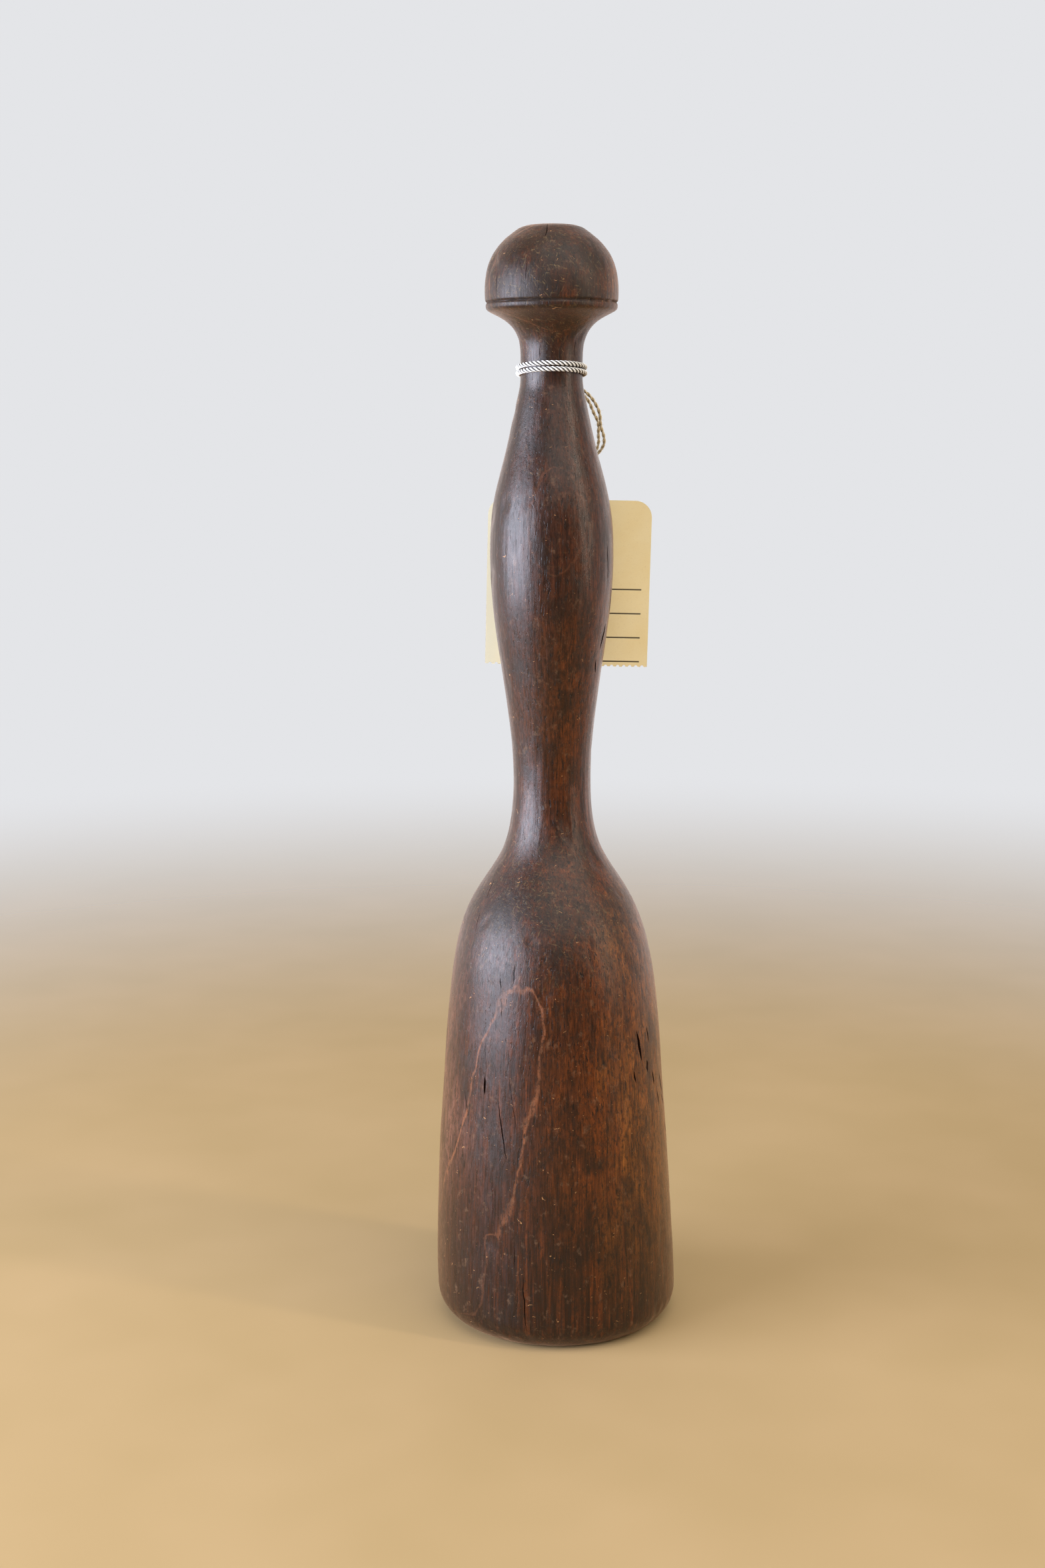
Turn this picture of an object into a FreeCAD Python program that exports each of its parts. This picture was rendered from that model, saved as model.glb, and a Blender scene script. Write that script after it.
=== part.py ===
"""Turned wooden meat mallet with a hanging tag.

One billet of hardwood is turned to a heavy flaring head, a shoulder, a slim
waist, a swelling grip, a neck and a button knob.  A white cotton cord is wound
twice round the neck and knotted behind it.  A doubled twine hangs from that
cord and carries a card tag.

Millimetres.  +Z runs up the turning axis, Z = 0 is the striking face that the
mallet stands on, and the tag hangs on the +Y side.
"""
import FreeCAD, Part
import math
import os

V = FreeCAD.Vector

# ---- driving dimensions: the turned body ------------------------------------
HEIGHT = 290.0            # striking face to the top of the knob

HEAD_R = 32.6             # widest radius of the head
BASE_EDGE_R = 7.0         # rounding between the striking face and the side
WAIST_R = 10.1            # slimmest radius above the shoulder
WAIST_Z = 147.0
GRIP_R = 16.1             # widest radius of the grip
GRIP_Z = 209.0
NECK_R = 7.95             # straight neck that carries the cord
NECK_LOW_Z = 251.3
NECK_HIGH_Z = 257.8
RIM_R = 16.75             # lower rim of the knob
RIM_Z = 269.0
RIM_IN = 0.4              # how far in and down the rim's underside starts
RIM_DROP = 0.3
RIM_OUT = 0.15            # and how far out and up it turns into the knob's side
RIM_RISE = 0.3
KNOB_R = 17.2             # widest radius of the knob
KNOB_Z = 273.5
KNOB_TOP_R = 5.6          # small flat on top of the knob

GROOVE_Z = 270.8          # line scribed round the knob while it turned
GROOVE_DEPTH = 0.55
GROOVE_HALF_WIDTH = 0.5
GROOVE_LOW_IN = 0.2       # the groove's two edges stand in from the widest radius
GROOVE_HIGH_IN = 0.08

# points (radius, height) between those stations that give each sweep its shape
SHOULDER_POINTS = [(32.4, 20), (30.8, 50), (28.7, 80), (27.3, 94), (25.1, 106),
                   (22.2, 114), (17.4, 122), (13.6, 128), (11.1, 136)]
GRIP_RISE_POINTS = [(11.2, 164), (13.0, 176), (14.85, 188.5)]
GRIP_FALL_POINTS = [(15.4, 219.5), (12.8, 230.2), (10.6, 238.5), (8.85, 246.6)]
COVE_POINTS = [(8.25, 260.9), (10.2, 264.9), (12.5, 266.9)]
KNOB_POINTS = [(16.15, 280.4), (12.95, 285.6), (9.5, 288.5)]

# directions (radius, 0, height) in which those curves leave and arrive
RIM_UNDER_WAY = V(1.0, 0, 0.45)
RIM_SIDE_WAY = V(0.1, 0, 1.0)
KNOB_SIDE_WAY = V(0.05, 0, 1.0)
KNOB_TOP_WAY = V(-1.0, 0, 0.12)

# ---- driving dimensions: the neck cord ---------------------------------------
CORD_TURN_PITCH = 1.5     # centre to centre of the two turns
CORD_HEIGHT = 1.4         # height of one turn, pulled tight and flattened
CORD_THICK = 1.05         # thickness of one turn
CORD_CLEARANCE = 0.05     # running clearance between the turns and the neck
CORD_Z = 253.95           # middle of the two turns, at the sides of the neck
CORD_TILT = 6.0           # degrees, the back lower than the front
CORD_SEAM_R = 0.35        # round seam between the turns
CORD_SEAM_OUT = 0.1       # its middle stands this far outside the winding

KNOT_CENTRE = V(-1.6, 10.0, 252.9)
KNOT_HALF = V(2.5, 1.5, 1.7)
KNOT_TAIL_D = 1.3
KNOT_TAILS = [[V(-3.0, 10.4, 252.6), V(-4.9, 11.0, 250.6), V(-5.4, 11.2, 247.9)],
              [V(-1.4, 10.9, 252.0), V(-1.7, 11.6, 249.9), V(-1.3, 11.5, 247.5)]]

# ---- driving dimensions: the twine and the tag --------------------------------
TWINE_D = 0.9
TWINE_KNOT_CENTRE = V(3.3, 9.25, 249.6)
TWINE_KNOT_R = 1.4
HITCH_CLEARANCE = 0.35    # between the hitch and the neck
TWINE_HITCH = [V(3.3, 9.3, 250.3), V(3.45, 8.9, 251.8), V(3.4, 8.9, 253.4),
               V(3.2, 8.5, 254.7), V(3.0, 7.5, 255.2)]

TAG_WIDTH = 44.0
TAG_HEIGHT = 44.7
TAG_THICK = 0.3
TAG_CORNER_R = 4.5
TAG_Y = 17.6              # plane of the card, behind the grip
TAG_TOP_Z = 220.6
TAG_LEAN = 1.5            # degrees about +Y, the lower end towards -X
TAG_HOLE_R = 1.8
TAG_HOLE_X = 5.2
TAG_HOLE_DROP = 6.0       # top edge to the middle of the hole
TAG_TOOTH_PITCH = 1.65    # torn perforation along the lower edge
TAG_TOOTH_R = 0.45

TAG_HOLE_Z = TAG_TOP_Z - TAG_HOLE_DROP
TWINE_SLACK = 0.15        # running clearance between the twine and the hole's edge
TAG_PIVOT_Z = TAG_HOLE_Z + TAG_HOLE_R - TWINE_D / 2 - TWINE_SLACK

# the twine from its knot down through the tag's hole and back up to the knot
TWINE_ROUTE = [
    V(4.8, 9.05, 249.75), V(7.0, 8.7, 249.8), V(9.4, 8.3, 248.5), V(11.5, 8.4, 246.0),
    V(12.9, 8.9, 243.0), V(12.9, 9.8, 240.0), V(14.0, 11.0, 237.3), V(14.1, 12.6, 234.9),
    V(12.4, 14.3, 232.6), V(9.6, 15.5, 229.2), V(7.6, 16.2, 225.2), V(6.5, 16.4, 221.3),
    V(5.7, 16.4, 218.0),
    V(5.2, 16.4, TAG_PIVOT_Z), V(5.2, 18.8, TAG_PIVOT_Z),
    V(4.9, 18.9, 218.0), V(5.6, 18.8, 221.7), V(6.9, 18.4, 225.6), V(9.0, 17.3, 229.4),
    V(11.6, 15.6, 232.6), V(12.7, 13.9, 235.2), V(12.5, 12.2, 238.0), V(12.6, 11.0, 240.8),
    V(11.1, 10.4, 243.4), V(10.1, 10.0, 246.1), V(8.5, 10.2, 248.0), V(6.4, 10.4, 248.4),
    V(4.5, 9.8, 248.9),
]


def edge(a, b):
    return Part.LineSegment(a, b).toShape()


def sweep_curve(points, start_tangent, end_tangent):
    """A smooth turned contour through (radius, height) points, in the XZ plane."""
    curve = Part.BSplineCurve()
    curve.interpolate(Points=[V(r, 0, z) for r, z in points],
                      InitialTangent=start_tangent, FinalTangent=end_tangent)
    return curve.toShape()


def corner_arc(centre_r, centre_z, radius, start_deg, end_deg):
    """An arc of the contour about (centre_r, centre_z), in the XZ plane."""
    def at(deg):
        a = math.radians(deg)
        return V(centre_r + radius * math.cos(a), 0, centre_z + radius * math.sin(a))
    return Part.Arc(at(start_deg), at((start_deg + end_deg) / 2), at(end_deg)).toShape()


def mallet_body():
    """The whole turned billet: one contour, revolved about its axis."""
    up = V(0, 0, 1)
    foot_r = HEAD_R - BASE_EDGE_R
    rim_under = (RIM_R - RIM_IN, RIM_Z - RIM_DROP)
    rim_side = (RIM_R + RIM_OUT, RIM_Z + RIM_RISE)
    groove_low = (KNOB_R - GROOVE_LOW_IN, GROOVE_Z - GROOVE_HALF_WIDTH)
    groove_high = (KNOB_R - GROOVE_HIGH_IN, GROOVE_Z + GROOVE_HALF_WIDTH)
    groove_floor = V(KNOB_R - GROOVE_DEPTH, 0, GROOVE_Z)
    low = V(groove_low[0], 0, groove_low[1])
    high = V(groove_high[0], 0, groove_high[1])
    contour = [
        edge(V(0, 0, 0), V(foot_r, 0, 0)),
        corner_arc(foot_r, BASE_EDGE_R, BASE_EDGE_R, -90, 0),
        sweep_curve([(HEAD_R, BASE_EDGE_R)] + SHOULDER_POINTS + [(WAIST_R, WAIST_Z)], up, up),
        sweep_curve([(WAIST_R, WAIST_Z)] + GRIP_RISE_POINTS + [(GRIP_R, GRIP_Z)], up, up),
        sweep_curve([(GRIP_R, GRIP_Z)] + GRIP_FALL_POINTS + [(NECK_R, NECK_LOW_Z)], up, up),
        edge(V(NECK_R, 0, NECK_LOW_Z), V(NECK_R, 0, NECK_HIGH_Z)),
        sweep_curve([(NECK_R, NECK_HIGH_Z)] + COVE_POINTS + [rim_under], up, RIM_UNDER_WAY),
        sweep_curve([rim_under, rim_side, groove_low], RIM_UNDER_WAY, RIM_SIDE_WAY),
        edge(low, groove_floor),
        edge(groove_floor, high),
        sweep_curve([groove_high, (KNOB_R, KNOB_Z)] + KNOB_POINTS + [(KNOB_TOP_R, HEIGHT)],
                    KNOB_SIDE_WAY, KNOB_TOP_WAY),
        edge(V(KNOB_TOP_R, 0, HEIGHT), V(0, 0, HEIGHT)),
        edge(V(0, 0, HEIGHT), V(0, 0, 0)),
    ]
    face = Part.Face(Part.Wire(contour))
    return solid_of(face.revolve(V(0, 0, 0), V(0, 0, 1), 360))


def solid_of(shape):
    """The single closed solid that a shape holds."""
    solid = shape.Solids[0] if shape.Solids else Part.Solid(shape.Shells[0])
    return solid.removeSplitter()


def tilted(shape):
    """Tilt a shape about the neck's X line, the back going down."""
    shape.rotate(V(0, 0, CORD_Z), V(1, 0, 0), -CORD_TILT)
    return shape


def ring_outer_r():
    return NECK_R + CORD_CLEARANCE + CORD_THICK


def neck_cord_turns():
    """Two tight turns side by side: the outer shape of the winding."""
    inner_r = NECK_R + CORD_CLEARANCE
    outer_r = ring_outer_r()
    slab_height = CORD_TURN_PITCH + CORD_HEIGHT
    slab_r = 3 * outer_r
    tall = slab_height + 2 * outer_r
    low = CORD_Z - tall / 2
    sleeve = Part.makeCylinder(outer_r, tall, V(0, 0, low))
    sleeve = sleeve.cut(Part.makeCylinder(inner_r, tall, V(0, 0, low)))
    slab = Part.makeCylinder(slab_r, slab_height, V(0, 0, CORD_Z - slab_height / 2))
    band = sleeve.common(tilted(slab))
    seam = Part.makeTorus(outer_r + CORD_SEAM_OUT, CORD_SEAM_R, V(0, 0, CORD_Z), V(0, 0, 1))
    return solid_of(band.cut(tilted(seam)))


def ellipsoid(centre, half):
    ball = Part.makeSphere(1.0)
    stretch = FreeCAD.Matrix()
    stretch.scale(half.x, half.y, half.z)
    stretch.move(centre)
    return ball.transformGeometry(stretch)


def tangent_path(points):
    """Straight runs joined by tangent arcs; returns the wire and the arcs' radii."""
    most = 0.45           # an arc takes up to this part of the shorter run beside it
    runs = [points[i + 1] - points[i] for i in range(len(points) - 1)]
    edges, radii = [], []
    last = points[0]
    for i in range(1, len(points) - 1):
        before, after = V(runs[i - 1]), V(runs[i])
        turn = before.getAngle(after)
        reach = most * min(before.Length, after.Length)
        radii.append(reach / math.tan(turn / 2))
        before.normalize()
        after.normalize()
        start = points[i] - before * reach
        end = points[i] + after * reach
        out = after - before
        out.normalize()
        centre = points[i] + out * (reach / math.sin(turn / 2))
        inward = points[i] - centre
        inward.normalize()
        edges.append(edge(last, start))
        edges.append(Part.Arc(start, centre + inward * radii[-1], end).toShape())
        last = end
    edges.append(edge(last, points[-1]))
    return Part.Wire(edges), radii


def tube(points, diameter, name):
    """A round tube along a route, with its bends and volume reported."""
    path, radii = tangent_path(points)
    start_direction = points[1] - points[0]
    section = Part.Wire(Part.makeCircle(diameter / 2, points[0], start_direction))
    solid = path.makePipeShell([section], True, True)
    expected = math.pi * diameter ** 2 / 4 * path.Length
    bends = " ".join("%.1f" % r for r in radii)
    print("%s: length %.1f mm, volume %.2f of %.2f mm3, arc radii %s"
          % (name, path.Length, solid.Volume, expected, bends))
    return solid


def neck_cord_knot():
    """The knot that ties the winding behind the neck, with its two cut ends."""
    knot = ellipsoid(KNOT_CENTRE, KNOT_HALF)
    for number, points in enumerate(KNOT_TAILS):
        knot = knot.fuse(tube(points, KNOT_TAIL_D, "knot tail %d" % (number + 1)))
    return solid_of(off_the_winding(knot))


def off_the_winding(shape):
    """Cut a piece back to the outside of the winding, so that the two meet face to face."""
    return shape.cut(core(ring_outer_r()))


def core(radius):
    """A cutter on the mallet's axis, tall enough to pass every knot."""
    tall = 30.0
    return Part.makeCylinder(radius, tall, V(0, 0, CORD_Z - tall / 2))


def twine_knot():
    """The twine's knot under the winding, and the loop that goes up over the winding."""
    knot = Part.makeSphere(TWINE_KNOT_R, TWINE_KNOT_CENTRE)
    knot = knot.fuse(tube(TWINE_HITCH, TWINE_D, "twine hitch"))
    knot = knot.cut(neck_cord_turns())
    knot = knot.cut(core(NECK_R + HITCH_CLEARANCE))
    return solid_of(knot)


def tag_twine():
    """The doubled twine, one length: knot to tag and back again."""
    return tube(TWINE_ROUTE, TWINE_D, "tag twine")


def tag_card():
    """The card: round upper corners, a punched hole and a torn perforated lower edge."""
    half = TAG_WIDTH / 2
    left, right = TAG_HOLE_X - half, TAG_HOLE_X + half
    back = TAG_Y - TAG_THICK / 2
    low = TAG_TOP_Z - TAG_HEIGHT
    blank = Part.makeBox(TAG_WIDTH, TAG_THICK, TAG_HEIGHT, V(left, back, low))
    near = 0.01           # tolerance for telling the card's two upper corners
    square_to = 0.9
    corners = [e for e in blank.Edges if abs(e.CenterOfMass.z - TAG_TOP_Z) < near
               and abs(e.tangentAt(0).y) > square_to]
    card = blank.makeFillet(TAG_CORNER_R, corners)
    across = V(0, 1, 0)
    punch_length = 4.0
    punch_y = TAG_Y - punch_length / 2
    hole = Part.makeCylinder(TAG_HOLE_R, punch_length, V(TAG_HOLE_X, punch_y, TAG_HOLE_Z), across)
    card = card.cut(hole)
    teeth = int(TAG_WIDTH / TAG_TOOTH_PITCH)
    first = TAG_HOLE_X - (teeth - 1) * TAG_TOOTH_PITCH / 2
    for i in range(teeth):
        at = V(first + i * TAG_TOOTH_PITCH, punch_y, low)
        card = card.cut(Part.makeCylinder(TAG_TOOTH_R, punch_length, at, across))
    card.rotate(V(TAG_HOLE_X, TAG_Y, TAG_PIVOT_Z), across, TAG_LEAN)
    return solid_of(card)


def main():
    os.makedirs("parts", exist_ok=True)
    nodes = {
        "mallet_body": mallet_body(),
        "neck_cord_turns": neck_cord_turns(),
        "neck_cord_knot": neck_cord_knot(),
        "twine_knot": twine_knot(),
        "tag_twine": tag_twine(),
        "tag_card": tag_card(),
    }
    for name, shape in nodes.items():
        box = shape.optimalBoundingBox()
        print("%-16s valid %s, solids %d, volume %.2f mm3, box %.2f %.2f %.2f to %.2f %.2f %.2f"
              % (name, shape.isValid(), len(shape.Solids), shape.Volume,
                 box.XMin, box.YMin, box.ZMin, box.XMax, box.YMax, box.ZMax))
        shape.exportStep("parts/%s.step" % name)


main()
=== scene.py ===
"""Turned hardwood meat mallet, worn dark with use, with a cord round its neck and a card tag.

The CAD model gives every place and size.  The billet is turned again here as one
closed mesh so that it can carry wear and drying checks.  The cords are laid up from
their plies, and the tag is cut from card.  Sizes are in millimetres until a mesh is
made, and angles round the billet run from its front (-Y) towards +X.
"""

import math
import random

import bpy
from mathutils import Matrix, Vector, noise


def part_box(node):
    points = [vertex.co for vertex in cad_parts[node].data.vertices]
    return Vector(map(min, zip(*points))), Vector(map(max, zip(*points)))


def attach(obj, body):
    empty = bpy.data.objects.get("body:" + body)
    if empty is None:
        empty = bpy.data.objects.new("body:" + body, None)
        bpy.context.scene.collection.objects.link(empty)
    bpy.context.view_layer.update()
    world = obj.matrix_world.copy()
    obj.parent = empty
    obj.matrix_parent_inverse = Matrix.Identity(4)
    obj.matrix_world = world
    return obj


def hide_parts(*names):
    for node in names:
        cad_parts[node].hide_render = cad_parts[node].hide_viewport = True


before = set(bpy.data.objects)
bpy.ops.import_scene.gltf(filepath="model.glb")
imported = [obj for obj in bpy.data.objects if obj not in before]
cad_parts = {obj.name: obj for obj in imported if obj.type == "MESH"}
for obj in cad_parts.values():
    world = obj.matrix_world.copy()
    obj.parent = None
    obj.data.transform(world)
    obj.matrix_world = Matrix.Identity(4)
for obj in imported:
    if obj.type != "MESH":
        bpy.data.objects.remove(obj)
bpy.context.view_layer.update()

MM = 0.001

# ---- sizes shared by several pieces -------------------------------------------------
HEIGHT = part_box("mallet_body")[1][2] / MM
GROOVE_Z = 270.8
CORD_D = 1.25
CORD_R = 8.6                       # middle of the neck cord
CORD_TURN_PITCH = 1.5
CORD_Z = 253.95
CORD_START = 171                   # the winding leaves the knot at this angle
CORD_TILT = math.radians(6.0)      # the back of the winding lies lower
CORD_KNOT = Vector((-1.6, 10.0, 252.9))
CORD_TAILS = [[(-3.0, 10.4, 252.6), (-4.9, 11.0, 250.6), (-5.4, 11.2, 247.9)],
              [(-1.4, 10.9, 252.0), (-1.7, 11.6, 249.9), (-1.3, 11.5, 247.5)]]

TWINE_D = 0.9
TWINE_KNOT = Vector((3.3, 9.25, 249.6))
TWINE_HITCH = [(3.3, 9.5, 250.3), (3.45, 9.55, 251.8), (3.4, 9.35, 253.4), (3.2, 8.95, 254.9),
               (3.0, 7.9, 255.6)]
# the twine from its knot down through the tag's hole and back up to the knot
TWINE_ROUTE = [
    (4.8, 9.05, 249.75), (7.0, 8.7, 249.8), (9.4, 8.3, 248.5), (11.5, 8.4, 246.0),
    (12.9, 8.9, 243.0), (12.9, 9.8, 240.0), (14.0, 11.0, 237.3), (14.1, 12.6, 234.9),
    (12.4, 14.3, 232.6), (9.6, 15.5, 229.2), (7.6, 16.2, 225.2), (6.5, 16.4, 221.3),
    (5.7, 16.4, 218.0),
    (5.2, 16.4, 215.8), (5.2, 18.8, 215.8),
    (4.9, 18.9, 218.0), (5.6, 18.8, 221.7), (6.9, 18.4, 225.6), (9.0, 17.3, 229.4),
    (11.6, 15.6, 232.6), (12.7, 13.9, 235.2), (12.5, 12.2, 238.0), (12.6, 11.0, 240.8),
    (11.1, 10.4, 243.4), (10.1, 10.0, 246.1), (8.5, 10.2, 248.0), (6.4, 10.4, 248.4),
    (4.5, 9.8, 248.9),
]

TAG_WIDTH = 44.0
TAG_HEIGHT = 44.7
TAG_THICK = 0.3
TAG_CORNER_R = 4.5
TAG_Y = 17.6
TAG_TOP = 220.6
TAG_HOLE = Vector((5.2, 17.6, 214.6))
TAG_HOLE_R = 1.8
TAG_PIVOT = Vector((5.2, 17.6, 215.8))
TAG_LEAN = math.radians(1.5)
TAG_TOOTH_PITCH = 1.65
TAG_TOOTH_R = 0.45
TAG_RULE_PITCH = 6.5
TAG_RULES = 4
TAG_FIRST_RULE = 1.4               # the lowest writing line, above the tag's lower edge
TAG_RULE_MIDDLE = TAG_HOLE.x + 4.9
TAG_RULE_LENGTH = 29.8


# ---- small tools -----------------------------------------------------------------------
def colour(code):
    """An sRGB hex colour as the linear RGBA that a shader takes."""
    parts = [int(code[i:i + 2], 16) / 255 for i in (1, 3, 5)]
    return [p / 12.92 if p <= 0.04045 else ((p + 0.055) / 1.055) ** 2.4 for p in parts] + [1.0]


def make_active(piece):
    bpy.ops.object.select_all(action="DESELECT")
    piece.select_set(True)
    bpy.context.view_layer.objects.active = piece


def apply_modifier(piece, kind, **settings):
    make_active(piece)
    modifier = piece.modifiers.new(kind.title(), kind)
    for name, value in settings.items():
        setattr(modifier, name, value)
    bpy.ops.object.modifier_apply(modifier=modifier.name)


def join(pieces, name):
    make_active(pieces[0])
    for piece in pieces:
        piece.select_set(True)
    bpy.ops.object.join()
    pieces[0].name = name
    return pieces[0]


def finish_piece(piece, body, slot, *nodes):
    """Puts the piece's place into its mesh, smooths it, sets it on the body it rides on, and hides
    the CAD parts it stands in for.
    """
    make_active(piece)
    bpy.ops.object.transform_apply(location=True, rotation=True, scale=True)
    bpy.ops.object.shade_smooth_by_angle(angle=math.radians(40))
    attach(piece, body)
    if nodes:
        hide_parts(*nodes)


def around(angle, radius, height):
    """A point at an angle in degrees from the front, in the unit of its radius and height."""
    turn = math.radians(angle)
    return Vector((radius * math.sin(turn), -radius * math.cos(turn), height))


def node(tree, kind, inputs=None, out=0, stops=None, **settings):
    """Adds a node with its settings; an input is a value or the socket that feeds it.
    Returns one of its outputs.  stops are a colour ramp's (place, colour) pairs."""
    made = tree.nodes.new(kind)
    for name, value in settings.items():
        setattr(made, name, value)
    for key, value in (inputs or {}).items():
        if isinstance(value, bpy.types.NodeSocket):
            tree.links.new(value, made.inputs[key])
        else:
            made.inputs[key].default_value = value
    if stops:
        ramp = made.color_ramp.elements
        while len(ramp) < len(stops):
            ramp.new(1.0)
        for element, (place, shade) in zip(ramp, stops):
            element.position = place
            element.color = shade if not isinstance(shade, str) else colour(shade)
    return made.outputs[out]


MATH = "ShaderNodeMath"
VECTOR = "ShaderNodeVectorMath"
RANGE = "ShaderNodeMapRange"
MIX = "ShaderNodeMix"              # as a colour mix: 0 amount, 6 and 7 the colours, output 2
RAMP = "ShaderNodeValToRGB"


def start_material(name):
    """A material with its shader, and Object coordinates turned to millimetres."""
    material = bpy.data.materials.new(name)
    material.use_nodes = True
    tree = material.node_tree
    shader = tree.nodes["Principled BSDF"]
    place = node(tree, "ShaderNodeTexCoord", out="Object")
    at = node(tree, VECTOR, {0: place, "Scale": 1 / MM}, operation="SCALE")
    return material, tree, shader, at


def mottle(tree, at, size, detail=3.0, rough=0.55, twist=0.0, apart=0.0):
    """A cloudy pattern, about 0.3 to 0.7, whose patches measure size = (x, y, z) mm."""
    shrunk = node(tree, VECTOR, {0: at, 1: [1 / s for s in size], 2: (apart, apart, apart)},
                  operation="MULTIPLY_ADD")
    return node(tree, "ShaderNodeTexNoise",
                {"Vector": shrunk, "Scale": 1.0, "Detail": detail, "Roughness": rough,
                 "Distortion": twist})


def stain(tree, under, shade, pattern, low, high, amount=1.0, only_in=None):
    """Lays a colour over the one below as a pattern goes from low, where there is none of
    it, to high, where there is amount of it.  Returns the new colour and its mask."""
    mask = node(tree, RANGE, {0: pattern, 1: low, 2: high, 3: 0.0, 4: amount},
                interpolation_type="SMOOTHSTEP")
    if only_in is not None:
        mask = node(tree, MATH, {0: mask, 1: only_in}, operation="MULTIPLY")
    over = node(tree, MIX, {0: mask, 6: under, 7: colour(shade)}, out=2, data_type="RGBA")
    return over, mask


# ---- materials ---------------------------------------------------------------------------
PITH_AT_FOOT = (8.42, 1.29)        # the heart of the log, where it passes the striking face
PITH_LEAN = (-0.0474, 0.1074)      # and how far it moves for each millimetre of height
RING_PITCH = 2.25
PALE_RING = 39.0                   # distance of one pale ring from the heart


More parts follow.
